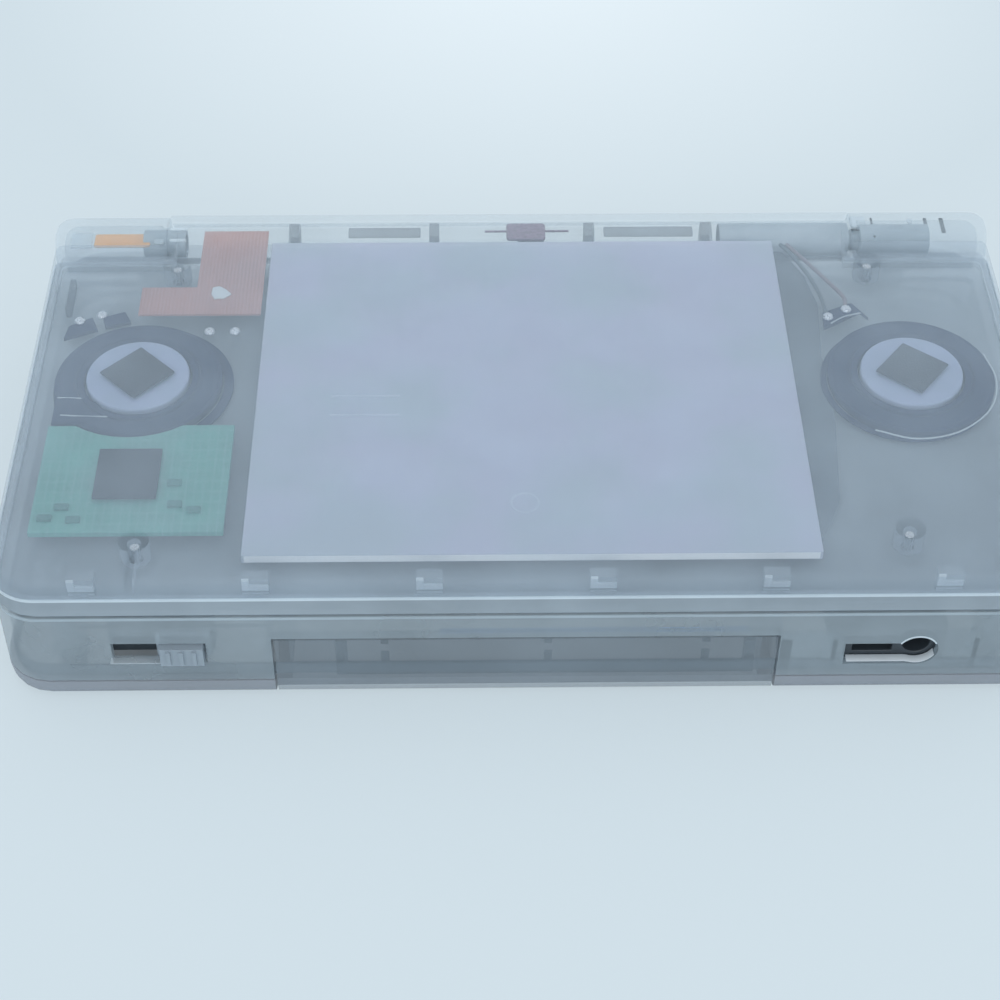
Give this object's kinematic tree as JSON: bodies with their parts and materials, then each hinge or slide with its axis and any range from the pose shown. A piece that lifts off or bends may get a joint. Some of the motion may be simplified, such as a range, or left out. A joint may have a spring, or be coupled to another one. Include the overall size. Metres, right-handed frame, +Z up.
{
  "type": "clamshell handheld game console",
  "caption": "Closed clamshell console in frosted see-through plastic: hinged lid, shoulder triggers, direction pad, buttons, sliders, sockets, stylus and dust cover.",
  "frame": {"origin": "under the middle of the closed console, on the surface that it rests on", "axes": "+X to the player's right, +Y to the hinge at the back, +Z up"},
  "size_m": [0.133, 0.0749, 0.0215],
  "materials": {
    "frosted_shell": "frosted, see-through",
    "clear_window": "clear",
    "display_glass": "dark, smooth",
    "plate_metal": "satin",
    "bright_metal": "plated",
    "dark_plastic": "matt",
    "green_board": "solder mask",
    "salmon_flex": "film",
    "speaker_plastic": "matt",
    "magnet_steel": "pressed, plated",
    "foam_pad": "open foam",
    "grey_rubber": "moulded",
    "button_plastic": "satin",
    "battery_wrap": "wrapped"
  },
  "bodies": {
    "base": {"base_bottom_shell": "frosted_shell", "base_top_shell": "frosted_shell", "battery_cover": "frosted_shell", "touch_panel": "clear_window", "lower_display": "display_glass", "main_board": "green_board", "hinge_axle": "bright_metal", "hinge_bush": "dark_plastic", "battery": "battery_wrap", "battery_cover_screw": "bright_metal", "card_slot": "bright_metal", "cartridge_connector": "dark_plastic", "headphone_jack": "dark_plastic", "charge_socket": "bright_metal", "volume_switch": "dark_plastic", "power_switch": "bright_metal", "trigger_pin_left": "bright_metal", "trigger_pin_right": "bright_metal", "trigger_spring_left": "bright_metal", "trigger_spring_right": "bright_metal", "dpad_membrane": "grey_rubber", "action_membrane": "grey_rubber", "base_screw_front_left": "bright_metal", "base_screw_front_right": "bright_metal", "base_screw_rear_left": "bright_metal", "base_screw_rear_right": "bright_metal"},
    "lid": {"lid_outer_shell": "frosted_shell", "lid_inner_bezel": "frosted_shell", "screen_window": "clear_window", "upper_display": "display_glass", "display_back_plate": "plate_metal", "display_flex": "salmon_flex", "speaker_frame_left": "speaker_plastic", "speaker_frame_right": "speaker_plastic", "speaker_magnet_left": "magnet_steel", "speaker_magnet_right": "magnet_steel", "speaker_pad_left": "foam_pad", "speaker_pad_right": "foam_pad", "antenna_board": "green_board", "antenna_chip": "dark_plastic", "microphone": "bright_metal", "hinge_cartridge": "bright_metal", "lid_screw_front_left": "bright_metal", "lid_screw_front_right": "bright_metal", "lid_screw_rear_left": "bright_metal", "lid_screw_rear_right": "bright_metal"},
    "dust_cover": {"dust_cover": "frosted_shell"},
    "power_slider": {"power_slider": "frosted_shell"},
    "volume_slider": {"volume_slider": "frosted_shell"},
    "trigger_left": {"trigger_left": "frosted_shell"},
    "trigger_right": {"trigger_right": "frosted_shell"},
    "dpad_pivot": {"dpad_pivot": "grey_rubber"},
    "dpad": {"dpad": "button_plastic"},
    "stylus": {"stylus": "frosted_shell"},
    "action_button_right": {"action_button_right": "button_plastic"},
    "action_button_left": {"action_button_left": "button_plastic"},
    "action_button_back": {"action_button_back": "button_plastic"},
    "action_button_front": {"action_button_front": "button_plastic"},
    "start_button": {"start_button": "button_plastic"},
    "select_button": {"select_button": "button_plastic"}
  },
  "joints": [
    {"name": "lid_hinge", "type": "hinge", "parent": "base", "child": "lid", "pos_m": [0, 0.03295, 0.0175], "axis": [-1, 0, 0], "range_deg": [0, 155]},
    {"name": "trigger_left_press", "type": "hinge", "parent": "base", "child": "trigger_left", "pos_m": [-0.0539, 0.03295, 0.0094], "axis": [0, 0, 1], "range_deg": [0, 4], "stiffness_Nm_per_rad": 0.3},
    {"name": "trigger_right_press", "type": "hinge", "parent": "base", "child": "trigger_right", "pos_m": [0.0539, 0.03295, 0.0094], "axis": [0, 0, -1], "range_deg": [0, 4], "stiffness_Nm_per_rad": 0.3},
    {"name": "dpad_tilt_x", "type": "hinge", "parent": "base", "child": "dpad_pivot", "pos_m": [-0.0505, 0.003, 0.0108], "axis": [1, 0, 0], "range_deg": [-3.5, 3.5], "stiffness_Nm_per_rad": 0.15},
    {"name": "dpad_tilt_y", "type": "hinge", "parent": "dpad_pivot", "child": "dpad", "pos_m": [-0.0505, 0.003, 0.0108], "axis": [0, 1, 0], "range_deg": [-3.5, 3.5], "stiffness_Nm_per_rad": 0.15},
    {"name": "action_button_right_press", "type": "slide", "parent": "base", "child": "action_button_right", "axis": [0, 0, -1], "range_m": [0, 0.0007], "stiffness_N_per_m": 1000},
    {"name": "action_button_left_press", "type": "slide", "parent": "base", "child": "action_button_left", "axis": [0, 0, -1], "range_m": [0, 0.0007], "stiffness_N_per_m": 1000},
    {"name": "action_button_back_press", "type": "slide", "parent": "base", "child": "action_button_back", "axis": [0, 0, -1], "range_m": [0, 0.0007], "stiffness_N_per_m": 1000},
    {"name": "action_button_front_press", "type": "slide", "parent": "base", "child": "action_button_front", "axis": [0, 0, -1], "range_m": [0, 0.0007], "stiffness_N_per_m": 1000},
    {"name": "start_button_press", "type": "slide", "parent": "base", "child": "start_button", "axis": [0, 0, -1], "range_m": [0, 0.0007], "stiffness_N_per_m": 1000},
    {"name": "select_button_press", "type": "slide", "parent": "base", "child": "select_button", "axis": [0, 0, -1], "range_m": [0, 0.0007], "stiffness_N_per_m": 1000},
    {"name": "power_slide", "type": "slide", "parent": "base", "child": "power_slider", "axis": [0, 1, 0], "range_m": [0, 0.0024], "stiffness_N_per_m": 300},
    {"name": "volume_slide", "type": "slide", "parent": "base", "child": "volume_slider", "axis": [-1, 0, 0], "range_m": [0, 0.0057]},
    {"name": "stylus_slide", "type": "slide", "parent": "base", "child": "stylus", "axis": [1, 0, 0], "range_m": [0, 0.0885]},
    {"name": "dust_cover_slide", "type": "slide", "parent": "base", "child": "dust_cover", "axis": [0, -1, 0], "range_m": [0, 0.016]}
  ]
}
